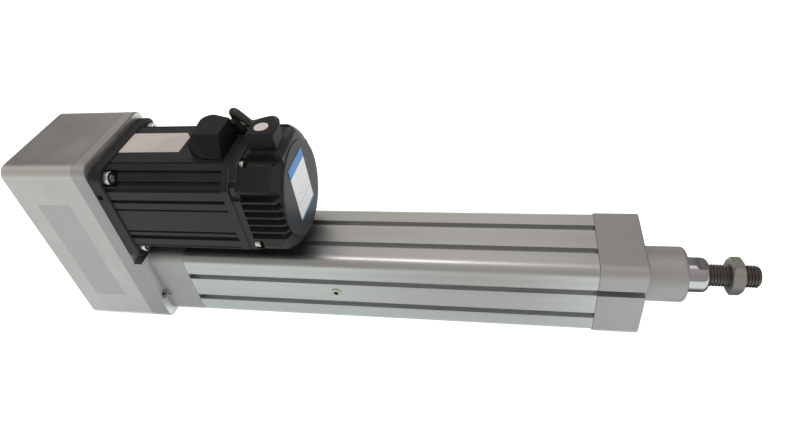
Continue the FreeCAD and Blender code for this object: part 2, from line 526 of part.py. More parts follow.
# ---- connector housings, their lead and the blank plates ------------------------
STATOR_TOP = MZ + STATOR_W / 2
BOX_TOP = 131.5
near, x1 = -11.8, -285.0
# outline of the seat: straight near side, cut corner, round far side
SEAT = [(-283.2, -20.6), (-296.5, -20.2), (-303.0, -18.2), (-309.3, -13.8)]


def seat_wire(z):
    pts = [V(x, y, z) for x, y in [(SEAT[0][0], 8.0)] + SEAT + [(-312.0, 2.0)]]
    edges = [Part.LineSegment(p, q).toShape() for p, q in zip(pts, pts[1:])]
    edges.append(Part.Arc(pts[-1], V(-300.0, 17.5, z), pts[0]).toShape())
    return Part.Wire(edges)


z0 = STATOR_TOP + 1.5
base = Part.Face(seat_wire(STATOR_TOP)).extrude(V(0, 0, 1.5))
save(base, "power_connector_base")

outline = Part.Wire(
    [
        Part.LineSegment(V(-304.4, near, z0), V(x1, near, z0)).toShape(),
        Part.LineSegment(V(x1, near, z0), V(x1, 9.2, z0)).toShape(),
        Part.LineSegment(V(x1, 9.2, z0), V(-297.6, 13.9, z0)).toShape(),
        Part.Arc(V(-297.6, 13.9, z0), V(-304.2, 12.2, z0), V(-306.6, 6.4, z0)).toShape(),
        Part.LineSegment(V(-306.6, 6.4, z0), V(-304.4, near, z0)).toShape(),
    ]
)
p = Part.Face(outline).extrude(V(0, 0, BOX_TOP - z0))


def ring_of(points, z):
    return Part.makePolygon([V(x, y, z) for x, y in points + points[:1]])


# the near side flares down to the seat in two steep facets
low = SEAT[:1] + SEAT[1:] + [(-309.3, 4.0), (-283.2, 4.0)]
middle = [(-284.4, -16.4), (-297.0, -16.2), (-304.0, -15.6), (-309.3, -13.8), (-309.3, 4.0), (-284.4, 4.0)]
top = [(x1, near), (-297.0, near), (-302.0, near), (-304.4, near), (-306.5, 4.0), (x1, 4.0)]
flare = Part.makeLoft([ring_of(low, z0), ring_of(middle, 125.0)], True, True)
flare = flare.fuse(Part.makeLoft([ring_of(middle, 125.0), ring_of(top, BOX_TOP)], True, True))
p = p.fuse(flare).removeSplitter()
LEAD_A, LEAD_B = (-287.2, 13.6, 122.1), (-255.5, 13.0, 122.8)
stub = Part.makeCylinder(3.5, 8.6, V(LEAD_A[0], 5.0, LEAD_A[2]), V(0, 1, 0))
boot = [(-291.5, 118.2), (-277.0, 118.2), (-277.0, 121.5), (-282.0, 127.8), (-291.5, 127.8)]
boot = Part.Face(Part.makePolygon([V(x, 8.0, z) for x, z in boot + boot[:1]])).extrude(V(0, LEAD_A[1] - 8.0, 0))
p = p.fuse([stub, boot]).removeSplitter()
save(p, "power_connector")

out = [(-265.5, -12.8), (-245.6, -12.8), (-245.6, 2.6), (-251.9, 9.9), (-259.2, 9.9), (-265.5, 3.1)]
wire = Part.makePolygon([V(x, y, PAD_TOP) for x, y in out + out[:1]])
q = Part.Face(wire).extrude(V(0, 0, BOX_TOP - PAD_TOP))
q = q.makeFillet(0.9, [e for e in q.Edges if abs(e.BoundBox.ZMin - BOX_TOP) < 1e-4])
stub = Part.makeCylinder(3.3, 8.0, V(LEAD_B[0], 5.0, LEAD_B[2]), V(0, 1, 0))
q = q.fuse(stub).removeSplitter()
save(q, "encoder_connector")

glands = []
for (x, y, z), r in ((LEAD_A, 4.1), (LEAD_B, 3.6)):
    g = Part.makeCylinder(r, 2.4, V(x, y, z), V(0, 1, 0))
    g = g.makeFillet(0.3, [e for e in g.Edges if abs(e.BoundBox.YMin - y - 2.4) < 1e-4])
    glands.append(g.cut(Part.makeCylinder(3.12, 6.0, V(x, y - 1, z), V(0, 1, 0))))
save(Part.makeCompound(glands), "lead_glands", 2)

LEAD_R = 3.05
ROUTE = [
    LEAD_A, (-287.2, 23.4, 122.1), (-288.2, 18.0, 135.4), (-274.4, 17.0, 120.5),
    (-265.0, 20.0, 121.6), (-255.5, 21.4, 122.8), LEAD_B,
]
BENDS = [3.9, 3.5, 6.0, 20.0, 4.8]


def lead_path(points, bends):
    """Straight runs joined by tangent arcs of the given radii."""
    pts = [V(*p) for p in points]
    edges, here, left = [], pts[0], []
    for i, rad in enumerate(bends, 1):
        a, b, c = pts[i - 1], pts[i], pts[i + 1]
        u, w = (a - b), (c - b)
        u.normalize()
        w.normalize()
        turn = math.pi - u.getAngle(w)
        cut = rad * math.tan(turn / 2)
        p0, p1 = b + u * cut, b + w * cut
        bis = (u + w)
        bis.normalize()
        pm = b + bis * (rad / math.cos(turn / 2) - rad)
        left.append(((here - b).Length - cut, math.degrees(turn)))
        edges.append(Part.LineSegment(here, p0).toShape())
        edges.append(Part.Arc(p0, pm, p1).toShape())
        here = p1
    edges.append(Part.LineSegment(here, pts[-1]).toShape())
    assert min(run for run, _ in left) > 0, left
    return Part.Wire(edges)


path = lead_path(ROUTE, BENDS)
start = path.Edges[0]
circle = Part.Wire([Part.Circle(V(*ROUTE[0]), start.tangentAt(start.FirstParameter), LEAD_R).toShape()])
lead = path.makePipeShell([circle], True, False)
print("lead radii", BENDS, "length", round(path.Length, 1),
      "volume ratio", round(lead.Volume / (math.pi * LEAD_R ** 2 * path.Length), 4))
save(lead, "jumper_lead")

out = [(-369.0, -10.4), (-320.9, -10.2), (-320.7, 8.4), (-325.2, 14.2), (-369.0, 14.2)]
save(Part.Face(ring_of(out, STATOR_TOP)).extrude(V(0, 0, 0.3)), "rating_plate")
save(box(X_BELL, X_BELL + 0.3, -15.4, 14.6, 58.0, 103.2), "rear_label")
save(Part.makeCylinder(5.0, 0.3, V(-256.8, -3.5, BOX_TOP), V(0, 0, 1)), "round_label")

print("nodes", len(os.listdir("parts")))
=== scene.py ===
import json
import math

import bmesh
import bpy
from mathutils import Matrix, Vector


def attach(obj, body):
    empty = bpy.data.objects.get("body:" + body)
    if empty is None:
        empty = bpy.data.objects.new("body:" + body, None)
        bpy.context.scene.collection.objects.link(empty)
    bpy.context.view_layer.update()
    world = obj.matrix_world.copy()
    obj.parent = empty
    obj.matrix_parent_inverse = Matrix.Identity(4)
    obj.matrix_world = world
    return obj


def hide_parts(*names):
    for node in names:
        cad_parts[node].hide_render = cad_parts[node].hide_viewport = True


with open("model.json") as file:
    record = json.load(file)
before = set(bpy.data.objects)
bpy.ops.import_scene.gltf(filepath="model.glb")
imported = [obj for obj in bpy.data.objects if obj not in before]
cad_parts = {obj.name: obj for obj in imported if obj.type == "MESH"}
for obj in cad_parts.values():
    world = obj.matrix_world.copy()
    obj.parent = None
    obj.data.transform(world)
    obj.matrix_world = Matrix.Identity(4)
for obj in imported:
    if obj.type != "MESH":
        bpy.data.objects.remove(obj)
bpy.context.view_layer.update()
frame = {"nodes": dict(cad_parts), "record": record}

nodes = frame["nodes"]
scene = bpy.context.scene
MM = 0.001

# ---------------------------------------------------------------- camera
cam_data = bpy.data.cameras.new("camera")
cam_data.sensor_fit = "HORIZONTAL"
cam_data.sensor_width = 36.0
cam_data.lens = 36.0 * 578.38 / 785.0
cam_data.clip_start, cam_data.clip_end = 0.01, 100.0
cam = bpy.data.objects.new("camera", cam_data)
right = Vector((0.97880799, 0.16501324, -0.12126648))
up = Vector((-0.01799802, 0.65920821, 0.75174504))
back = Vector((0.20398774, -0.73363149, 0.64820817))
cam.matrix_world = Matrix((
    (right.x, up.x, back.x, -0.08972),
    (right.y, up.y, back.y, -0.31577),
    (right.z, up.z, back.z, 0.32570),
    (0, 0, 0, 1),
))
scene.collection.objects.link(cam)
scene.camera = cam


# ---------------------------------------------------------------- materials
class Mat:
    """A node material on row-frame coordinates, in metres."""

    def __init__(self, name, **sockets):
        self.m = bpy.data.materials.new(name)
        self.m.use_nodes = True
        self.nt = self.m.node_tree
        self.nt.nodes.clear()
        self.out = self.node("ShaderNodeOutputMaterial")
        self.bsdf = self.node("ShaderNodeBsdfPrincipled")
        self.nt.links.new(self.bsdf.outputs[0], self.out.inputs[0])
        self.co = self.node("ShaderNodeTexCoord").outputs["Object"]
        self.last_normal = None
        for k, v in sockets.items():
            k = k.replace("_", " ").title().replace("Ior", "IOR")
            self.bsdf.inputs[k].default_value = v

    def node(self, kind, **props):
        n = self.nt.nodes.new(kind)
        for k, v in props.items():
            setattr(n, k, v)
        return n

    def put(self, socket, value):
        if hasattr(value, "is_output"):
            self.nt.links.new(value, socket)
        else:
            socket.default_value = value

    def at(self, scale, shift=(0, 0, 0), turn=(0, 0, 0)):
        n = self.node("ShaderNodeMapping")
        self.put(n.inputs["Vector"], self.co)
        n.inputs["Location"].default_value = shift
        n.inputs["Rotation"].default_value = turn
        n.inputs["Scale"].default_value = scale if hasattr(scale, "__len__") else (scale,) * 3
        return n.outputs[0]

    def noise(self, scale, detail=3.0, rough=0.55, shift=(0, 0, 0), distort=0.0):
        n = self.node("ShaderNodeTexNoise")
        self.put(n.inputs["Vector"], self.at(scale, shift))
        n.inputs["Scale"].default_value = 1.0
        n.inputs["Detail"].default_value = detail
        n.inputs["Roughness"].default_value = rough
        n.inputs["Distortion"].default_value = distort
        return n.outputs["Fac"]

    def cells(self, scale, shift=(0, 0, 0), feature="F1", randomness=1.0):
        n = self.node("ShaderNodeTexVoronoi", feature=feature)
        self.put(n.inputs["Vector"], self.at(scale, shift))
        n.inputs["Scale"].default_value = 1.0
        n.inputs["Randomness"].default_value = randomness
        return n.outputs["Distance"]

    def span(self, fac, a, b, c, d, smooth=False):
        n = self.node("ShaderNodeMapRange", interpolation_type="SMOOTHSTEP" if smooth else "LINEAR")
        self.put(n.inputs["Value"], fac)
        n.inputs["From Min"].default_value = a
        n.inputs["From Max"].default_value = b
        n.inputs["To Min"].default_value = c
        n.inputs["To Max"].default_value = d
        return n.outputs[0]

    def math(self, op, a, b=0.0, c=0.0):
        n = self.node("ShaderNodeMath", operation=op)
        for i, v in enumerate((a, b, c)):
            self.put(n.inputs[i], v)
        return n.outputs[0]

    def mix(self, fac, a, b, how="MIX"):
        n = self.node("ShaderNodeMix", data_type="RGBA", blend_type=how)
        self.put(n.inputs["Factor"], fac)
        for s, v in ((n.inputs[6], a), (n.inputs[7], b)):
            self.put(s, v if hasattr(v, "is_output") else (*v, 1.0))
        return n.outputs[2]

    def xyz(self):
        n = self.node("ShaderNodeSeparateXYZ")
        self.put(n.inputs[0], self.co)
        return n.outputs

    def edges(self, radius, lo=0.02, hi=0.25):
        """0 on flat ground, 1 on edges sharper than the radius."""
        bev = self.node("ShaderNodeBevel", samples=6)
        bev.inputs["Radius"].default_value = radius
        geo = self.node("ShaderNodeNewGeometry")
        dot = self.node("ShaderNodeVectorMath", operation="DOT_PRODUCT")
        self.put(dot.inputs[0], bev.outputs[0])
        self.put(dot.inputs[1], geo.outputs["Normal"])
        return self.span(self.math("SUBTRACT", 1.0, dot.outputs["Value"]), lo, hi, 0.0, 1.0)

    def creases(self, distance, lo=0.35, hi=0.95):
        """1 deep in corners and slots, 0 in the open."""
        ao = self.node("ShaderNodeAmbientOcclusion", samples=6)
        ao.inputs["Distance"].default_value = distance
        return self.span(ao.outputs["AO"], lo, hi, 1.0, 0.0)

    def color(self, value):
        self.put(self.bsdf.inputs["Base Color"], value if hasattr(value, "is_output") else (*value, 1.0))

    def rough(self, value):
        self.put(self.bsdf.inputs["Roughness"], value)

    def bump(self, height, strength, distance):
        n = self.node("ShaderNodeBump")
        n.inputs["Strength"].default_value = strength
        n.inputs["Distance"].default_value = distance
        self.put(n.inputs["Height"], height)
        if self.last_normal is not None:
            self.put(n.inputs["Normal"], self.last_normal)
        self.last_normal = n.outputs[0]
        self.put(self.bsdf.inputs["Normal"], self.last_normal)


def blasted(name, tint, rough=0.5, metal=1.0, mottle=0.25, corner_highlight=1.0, face=None, top=None):
    """Bead-blasted, clear-anodised aluminium."""
    m = Mat(name, metallic=metal)
    cloud = m.noise(26, 4.0, 0.6)
    grain = m.noise(5200, 2.0, 0.6)
    spots = m.cells(2600)
    a = tuple(c * 0.93 for c in tint)
    b = tuple(min(1, c * 1.05) for c in tint)
    col = m.mix(m.span(cloud, 0.32, 0.70, 0, 1), a, b)
    col = m.mix(m.span(grain, 0.30, 0.70, 0.0, 0.22), col, tuple(c * 0.72 for c in tint))
    blotch = m.noise((26, 26, 11), 3.0, 0.6, (5, 2, 7), 0.6)
    col = m.mix(m.span(blotch, 0.36, 0.66, 0.0, mottle), col, tuple(c * 0.80 for c in tint))
    geo = m.node("ShaderNodeNewGeometry")
    turn = m.node("ShaderNodeSeparateXYZ")
    m.put(turn.inputs[0], geo.outputs["Normal"])
    # top-facing faces are painted in their own tint: painted light on the top
    if top is not None:
        col = m.mix(m.span(turn.outputs[2], 0.75, 0.97, 0, 1), col, top)
    if corner_highlight > 1.0:
        # the rounded corners along X are painted brighter: a painted highlight
        corner = m.math("ABSOLUTE", m.math("MULTIPLY", turn.outputs[1], turn.outputs[2]))
        col = m.mix(m.span(corner, 0.04, 0.42, 0, 1), col, tuple(min(1, c * corner_highlight) for c in tint))
    if face is not None:
        # the front face is painted lighter: painted light
        col = m.mix(m.span(turn.outputs[0], 0.7, 0.9, 0, 1), col, face)
    # painted shade: darker in the corners and creases
    painted_corner_shade = m.math("MULTIPLY", m.creases(0.006), 0.35)
    col = m.mix(painted_corner_shade, col, tuple(c * 0.45 for c in tint))
    # lighter edges: worn edges with a painted edge highlight
    col = m.mix(m.math("MULTIPLY", m.edges(0.0007), 0.55), col, tuple(min(1, c * 1.35 + 0.05) for c in tint))
    m.color(col)
    m.rough(m.math("ADD", m.span(cloud, 0.3, 0.7, rough - 0.04, rough + 0.05), m.span(grain, 0.3, 0.7, -0.03, 0.05)))
    m.bump(spots, 0.25, 0.00006)
    m.bump(grain, 0.22, 0.00008)
    return m.m


def extruded(name, tint, rough=0.33):
    """Clear-anodised extrusion with die lines along X."""
    m = Mat(name, metallic=1.0)
    lines = m.noise((1.6, 3400, 3400), 3.0, 0.65)
    broad = m.noise((0.9, 160, 160), 2.0, 0.5, (3, 1, 2))
    cloud = m.noise((9, 30, 30), 3.0, 0.6)
    scuff = m.noise((60, 900, 900), 2.0, 0.7, (7, 3, 5))
    col = m.mix(m.span(broad, 0.30, 0.70, 0, 1), tuple(c * 0.95 for c in tint), tuple(min(1, c * 1.04) for c in tint))
    col = m.mix(m.span(lines, 0.35, 0.75, 0, 0.35), col, tuple(c * 0.84 for c in tint))
    col = m.mix(m.span(scuff, 0.66, 0.80, 0, 0.25), col, tuple(min(1, c * 1.25) for c in tint))
    # inside the slots and corners the colour is painted paler: painted light against the shade there
    col = m.mix(m.math("MULTIPLY", m.creases(0.006), 0.85), col, tuple(min(1, c * 1.42) for c in tint))
    # lighter edges: worn edges with a painted edge highlight
    col = m.mix(m.math("MULTIPLY", m.edges(0.0005), 0.5), col, tuple(min(1, c * 1.3 + 0.05) for c in tint))
    m.color(col)
    r = m.math("ADD", m.span(cloud, 0.3, 0.7, rough - 0.03, rough + 0.05), m.span(lines, 0.3, 0.7, -0.04, 0.05))
    m.rough(m.math("ADD", r, m.span(scuff, 0.62, 0.8, 0.0, -0.06)))
    m.bump(lines, 0.16, 0.00006)
    m.bump(m.noise(4200, 2.0, 0.6), 0.10, 0.00005)
    return m.m


def chromed(name, tint, rough=0.07, turned=2600):
    """Ground and chromed round bar: rings of grinding marks and a few lengthwise scuffs."""
    m = Mat(name, metallic=1.0)
    rings = m.noise((turned, 14, 14), 2.0, 0.6)
    cloud = m.noise((40, 120, 120), 3.0, 0.6)
    scuff = m.noise((12, 1900, 1900), 2.0, 0.6, (4, 2, 9))
    col = m.mix(m.span(cloud, 0.3, 0.7, 0, 1), tuple(c * 0.93 for c in tint), tint)
    col = m.mix(m.span(scuff, 0.62, 0.80, 0, 0.25), col, tuple(c * 0.6 for c in tint))
    m.color(col)
    m.rough(m.math("ADD", m.span(cloud, 0.3, 0.7, rough - 0.02, rough + 0.05), m.span(scuff, 0.6, 0.8, 0, 0.10)))
    m.bump(rings, 0.06, 0.00003)
    return m.m


def plated(name, tint, dark, rough=0.30, scale=900, crease_shade=0.7):
    """Zinc-plated or turned steel: patchy plating, edges lightened both by being worn and by a painted edge highlight,
    painted shade in the corners.
    """
    m = Mat(name, metallic=1.0)
    patch = m.noise(scale * 0.35, 4.0, 0.65, (1, 5, 2))
    fine = m.noise(scale * 6, 2.0, 0.6)
    col = m.mix(m.span(patch, 0.30, 0.72, 0, 1), tint, dark)
    # painted shade: darker in the corners
    col = m.mix(m.math("MULTIPLY", m.creases(0.0025), crease_shade), col, tuple(c * 0.22 for c in dark))
    # lighter edges: worn edges with a painted edge highlight
    col = m.mix(m.math("MULTIPLY", m.edges(0.0004), 0.6), col, tuple(min(1, c * 1.25 + 0.08) for c in tint))
    m.color(col)
    m.rough(m.math("ADD", m.span(patch, 0.3, 0.7, rough - 0.06, rough + 0.10), m.span(fine, 0.3, 0.7, -0.03, 0.04)))
    m.bump(fine, 0.12, 0.00004)
    m.bump(patch, 0.10, 0.00010)
    return m.m


def threaded(name):
    """Dark oiled thread: the crests are painted lighter and the roots darker, partly as worn crests and partly as
    painted highlight and painted shade.
    """
    m = Mat(name, metallic=1.0)
    x, y, z = m.xyz()
    r = m.math("SQRT", m.math("ADD", m.math("MULTIPLY", y, y), m.math("MULTIPLY", z, z)))
    crest = m.span(r, 0.0073, 0.0079, 0.0, 1.0, True)
    patch = m.noise(420, 4.0, 0.65)
    # crests lighter and roots darker: worn crests, with painted highlight and painted shade
    col = m.mix(crest, (0.17, 0.152, 0.141), (0.23, 0.209, 0.195))
    col = m.mix(m.span(patch, 0.42, 0.72, 0, 0.55), col, (0.19, 0.16, 0.14))
    m.color(col)
    m.rough(m.math("ADD", m.span(crest, 0, 1, 0.46, 0.24), m.span(patch, 0.3, 0.7, -0.05, 0.10)))
    m.bump(m.noise((5200, 900, 900), 2.0, 0.6), 0.12, 0.00004)
    return m.m


def black_extrusion(name, tint, rough=0.42, edge_wear_and_highlight=0.45, edge_wear_and_highlight_tint=(0.11, 0.112, 0.116)):
    """Black anodised extrusion with die lines along X, paler corners, and edges lightened both by being worn and by a
    painted edge highlight.
    """
    m = Mat(name, specular_ior_level=0.31)
    lines = m.noise((1.8, 2800, 2800), 3.0, 0.65)
    cloud = m.noise((14, 45, 45), 4.0, 0.6)
    speck = m.noise(2600, 2.0, 0.6, (2, 8, 1))
    col = m.mix(m.span(cloud, 0.30, 0.72, 0, 1), tuple(c * 0.82 for c in tint), tuple(c * 1.15 for c in tint))
    col = m.mix(m.span(lines, 0.40, 0.75, 0, 0.30), col, tuple(c * 1.5 for c in tint))
    col = m.mix(m.span(speck, 0.70, 0.80, 0, 0.35), col, tuple(c * 2.6 for c in tint))
    col = m.mix(m.math("MULTIPLY", m.creases(0.005, 0.25, 0.85), 0.85), col, (0.062, 0.065, 0.070))
    # lighter edges: worn edges with a painted edge highlight
    col = m.mix(m.math("MULTIPLY", m.edges(0.0005), edge_wear_and_highlight), col, edge_wear_and_highlight_tint)
    m.color(col)
    m.rough(m.math("ADD", m.span(cloud, 0.3, 0.7, rough - 0.05, rough + 0.06), m.span(lines, 0.3, 0.7, -0.04, 0.05)))
    m.bump(lines, 0.18, 0.00006)
    m.bump(speck, 0.12, 0.00004)
    return m.m


def black_paint(name, tint, rough=0.34, peel=320, end_x=None):
    """Painted casting: orange peel, a clear gloss, paler in the corners, edges lightened both by being worn and by a
    painted edge highlight.
    Past end_x the surface is a satin machined disc."""
    m = Mat(name, specular_ior_level=0.22)
    cloud = m.noise(40, 3.0, 0.6)
    wave = m.noise(peel * 3.2, 2.0, 0.5)
    fine = m.noise(3600, 2.0, 0.6)
    col = m.mix(m.span(cloud, 0.30, 0.70, 0, 1), tuple(c * 0.8 for c in tint), tuple(c * 1.2 for c in tint))
    col = m.mix(m.math("MULTIPLY", m.creases(0.006, 0.25, 0.85), 0.85), col, (0.070, 0.074, 0.080))
    # lighter edges: worn edges with a painted edge highlight
    col = m.mix(m.math("MULTIPLY", m.edges(0.0006), 0.40), col, (0.050, 0.048, 0.051))
    r = m.math("ADD", m.span(cloud, 0.3, 0.7, rough - 0.04, rough + 0.06), m.span(fine, 0.3, 0.7, -0.02, 0.03))
    if end_x is not None:
        x, y, z = m.xyz()
        dz = m.math("SUBTRACT", z, 0.0775)
        rad = m.math("SQRT", m.math("ADD", m.math("MULTIPLY", y, y), m.math("MULTIPLY", dz, dz)))
        disc = m.math("MULTIPLY", m.span(x, end_x - 0.0012, end_x - 0.0006, 0, 1), m.span(rad, 0.0354, 0.0357, 1, 0))
        rings = m.node("ShaderNodeTexNoise", noise_dimensions="1D")
        m.put(rings.inputs["W"], m.math("MULTIPLY", rad, 5200))
        rings.inputs["Scale"].default_value = 1.0
        rings.inputs["Detail"].default_value = 2.0
        grey = m.mix(m.span(rings.outputs["Fac"], 0.3, 0.7, 0, 1), (0.0390, 0.0418, 0.0458), (0.0515, 0.0553, 0.0605))
        # the rounded end before the disc is painted a lighter grey: painted light
        rim = m.span(x, end_x - 0.0062, end_x - 0.0057, 0, 1)
        col = m.mix(rim, col, (0.030, 0.0308, 0.0325))
        col = m.mix(disc, col, grey)
        n = m.node("ShaderNodeMix", data_type="FLOAT")
        m.put(n.inputs[0], disc)
        m.put(n.inputs[2], r)
        m.put(n.inputs[3], m.span(rings.outputs["Fac"], 0.3, 0.7, 0.36, 0.46))
        r = n.outputs[0]
    m.color(col)
    m.rough(r)
    m.bump(wave, 0.10, 0.00012)
    m.bump(fine, 0.08, 0.00004)
    return m.m


def moulded(name, tint, rough=0.48, grain=1500, gloss=0.5):
    """Moulded plastic with a fine spark-eroded texture."""
    m = Mat(name, specular_ior_level=gloss)
    cloud = m.noise(60, 3.0, 0.6)
    tex = m.cells(grain)
    fine = m.noise(grain * 2.5, 2.0, 0.6)
    col = m.mix(m.span(cloud, 0.3, 0.7, 0, 1), tuple(c * 0.85 for c in tint), tuple(c * 1.15 for c in tint))
    # lighter edges: worn edges with a painted edge highlight
    col = m.mix(m.math("MULTIPLY", m.edges(0.0005), 0.35), col, tuple(min(1, c * 2.2 + 0.02) for c in tint))
    m.color(col)
    m.rough(m.math("ADD", m.span(cloud, 0.3, 0.7, rough - 0.05, rough + 0.06), m.span(fine, 0.3, 0.7, -0.03, 0.05)))
    m.bump(tex, 0.20, 0.00005)
    m.bump(fine, 0.12, 0.00004)
    return m.m


def rubbery(name, tint, rough=0.55):
    m = Mat(name, specular_ior_level=0.4)
    cloud = m.noise(120, 3.0, 0.6)
    fine = m.noise(2400, 3.0, 0.6)
    m.color(m.mix(m.span(cloud, 0.3, 0.7, 0, 1), tuple(c * 0.8 for c in tint), tuple(c * 1.3 for c in tint)))
    m.rough(m.math("ADD", m.span(cloud, 0.3, 0.7, rough - 0.06, rough + 0.08), m.span(fine, 0.3, 0.7, -0.03, 0.04)))
    m.bump(fine, 0.18, 0.00005)
    return m.m


MATS = {
    "blasted_aluminium": blasted("blasted_aluminium", (0.518, 0.512, 0.508), 0.62, corner_highlight=1.07),
    "anodised_profile": extruded("anodised_profile", (0.54, 0.552, 0.54)),
    "grey_film": moulded("grey_film", (0.36, 0.37, 0.37), 0.42, 2600),
    "zinc_steel": plated("zinc_steel", (0.60, 0.60, 0.56), (0.42, 0.43, 0.38), 0.30),
    "dark_steel": threaded("dark_steel"),
    "chromed_rod": chromed("chromed_rod", (0.575, 0.58, 0.605)),
    "bronze": plated("bronze", (0.55, 0.38, 0.19), (0.38, 0.25, 0.12), 0.42),
    "rubber": rubbery("rubber", (0.018, 0.018, 0.018)),
    "lead_jacket": rubbery("lead_jacket", (0.050, 0.0465, 0.044), 0.46),
    "steel": plated("steel", (0.56, 0.56, 0.57), (0.40, 0.40, 0.41), 0.26),
    "aluminium": plated("aluminium", (0.66, 0.66, 0.66), (0.52, 0.52, 0.53), 0.34),
    "copper": plated("copper", (0.55, 0.24, 0.11), (0.36, 0.14, 0.06), 0.36),
    "bearing_plastic": moulded("bearing_plastic", (0.62, 0.60, 0.54), 0.46),
    "magnet": plated("magnet", (0.12, 0.12, 0.12), (0.07, 0.07, 0.07), 0.50),
    "encoder_plastic": moulded("encoder_plastic", (0.03, 0.14, 0.06), 0.40),
    "motor_black": black_extrusion("motor_black", (0.0168, 0.0192, 0.0222)),
    "bell_black": black_paint("bell_black", (0.0215, 0.0199, 0.0203), end_x=-0.241),
    "connector_plastic": moulded("connector_plastic", (0.0114, 0.0121, 0.0138), 0.46, gloss=0.22),
    "label_film": moulded("label_film", (0.66, 0.63, 0.62), 0.38, 2600),
}



def printed(name, paper, inks, rough=0.34):
    """A plain label: paper with flat printed bars. Each ink is (colour, strength, [(axis, low, high, ...), ...]),
    where every bar is the overlap of its spans in millimetres of the row's frame."""
    m = Mat(name, specular_ior_level=0.45)
    co = m.xyz()
    cloud = m.noise(70, 3.0, 0.6)
    fine = m.noise(3000, 2.0, 0.6)
    col = m.mix(m.span(cloud, 0.3, 0.7, 0, 1), tuple(c * 0.96 for c in paper), tuple(min(1, c * 1.02) for c in paper))
    for ink, strength, bars in inks:
        for bar in bars:
            fac = strength
            for axis, low, high in bar:
                v = co["xyz".index(axis)]
                inside = m.math("MULTIPLY", m.math("GREATER_THAN", v, low * MM), m.math("LESS_THAN", v, high * MM))
                fac = m.math("MULTIPLY", fac, inside)
            col = m.mix(fac, col, ink)
    m.color(col)
    m.rough(m.math("ADD", m.span(cloud, 0.3, 0.7, rough - 0.04, rough + 0.05), m.span(fine, 0.3, 0.7, -0.02, 0.03)))
    m.bump(fine, 0.05, 0.00003)
    return m.m


BLUE, INK = (0.065, 0.26, 0.70), (0.16, 0.16, 0.165)
REAR_PRINT = [
    (BLUE, 1.0, [[("z", 95.4, 104.0)], [("z", 57.0, 59.8)]]),
    ((0.14, 0.32, 0.62), 0.8, [[("z", 70.2, 70.9), ("y", -14.2, 13.4)]]),
    (INK, 0.30, [[("z", z, z + 0.45), ("y", -12.5, 11.0)] for z in (62.4, 64.6, 66.8, 73.4, 75.8, 78.2)]),
]
PLATE_PRINT = [
    (INK, 0.34, [[("y", y, y + 0.55), ("x", a, b)] for y, a, b in (
        (7.6, -341.0, -326.5), (5.0, -341.0, -329.0), (2.4, -341.0, -326.0), (-0.2, -341.0, -330.5),
        (-2.8, -341.0, -327.5), (-5.4, -341.0, -331.0), (-8.6, -346.0, -330.0), (11.4, -357.0, -340.5),
    )]),
]

# finishes of single pieces: a smoother blast on the drive housing than on the two end castings
own = {
    # the drive housing's rounded corners are painted brighter: a painted highlight
    "belt_cover": blasted("cover_aluminium", (0.560, 0.554, 0.541), 0.42, mottle=0.70, corner_highlight=1.38),
    # the plate's front face and top are painted lighter than its sides and its rounded corners brighter: painted light
    "motor_plate": blasted("plate_aluminium", (0.388, 0.386, 0.380), 0.44, mottle=0.40, corner_highlight=1.55, face=(0.90, 0.905, 0.895), top=(0.575, 0.565, 0.552)),
    "cover_badge": blasted("badge_film", (0.46, 0.464, 0.458), 0.44),
    "rod_nut": plated("nut_zinc", (0.50, 0.50, 0.462), (0.395, 0.402, 0.36), 0.44),
    "motor_bolts": plated("bolt_zinc", (0.86, 0.88, 0.87), (0.66, 0.70, 0.71), 0.30, crease_shade=0.35),
    "grease_plug": plated("plug_zinc", (0.62, 0.61, 0.54), (0.48, 0.47, 0.40), 0.30, crease_shade=0.65),
    "rear_label": printed("rear_label_print", (0.95, 0.965, 0.965), REAR_PRINT),
    "rating_plate": printed("rating_plate_print", (0.80, 0.735, 0.715), PLATE_PRINT),
    "round_label": printed("round_label_print", (0.92, 0.855, 0.835), []),
}
# the shield's edges are painted pale: a strong painted edge highlight on worn edges
own["motor_rear_shield"] = black_extrusion("shield_black", (0.020, 0.0215, 0.0235), edge_wear_and_highlight=0.85, edge_wear_and_highlight_tint=(0.26, 0.265, 0.275))
own["motor_rear_screws"] = plated("screw_zinc", (0.70, 0.69, 0.64), (0.52, 0.51, 0.46), 0.28, crease_shade=0.6)

slot_of = {s["node"]: s["material_slot"] for s in frame["record"]["subparts"]}
for name, obj in nodes.items():
    obj.data.materials.clear()
    obj.data.materials.append(own.get(name, MATS[slot_of[name]]))

# ---------------------------------------------------------------- soft edges
def soften(names, width, angle=32.0, segments=2):
    """Breaks the sharp edges of CAD pieces, as deburring and casting do."""
    for name in names:
        o = nodes[name]
        w = o.modifiers.new("weld", "WELD")
        w.merge_threshold = 2e-6
        d = o.modifiers.new("flat", "DECIMATE")
        d.decimate_type = "DISSOLVE"
        d.angle_limit = math.radians(0.3)
        b = o.modifiers.new("bevel", "BEVEL")
        b.width = width * MM
        b.segments = segments
        b.limit_method = "ANGLE"
        b.angle_limit = math.radians(angle)
        b.harden_normals = True
        b.use_clamp_overlap = True


soften(["motor_rear_bell", "motor_rear_shield", "stator_housing", "encoder_connector", "power_connector", "motor_flange"], 0.3)
soften(["rod_nut", "motor_rear_screws"], 0.2)


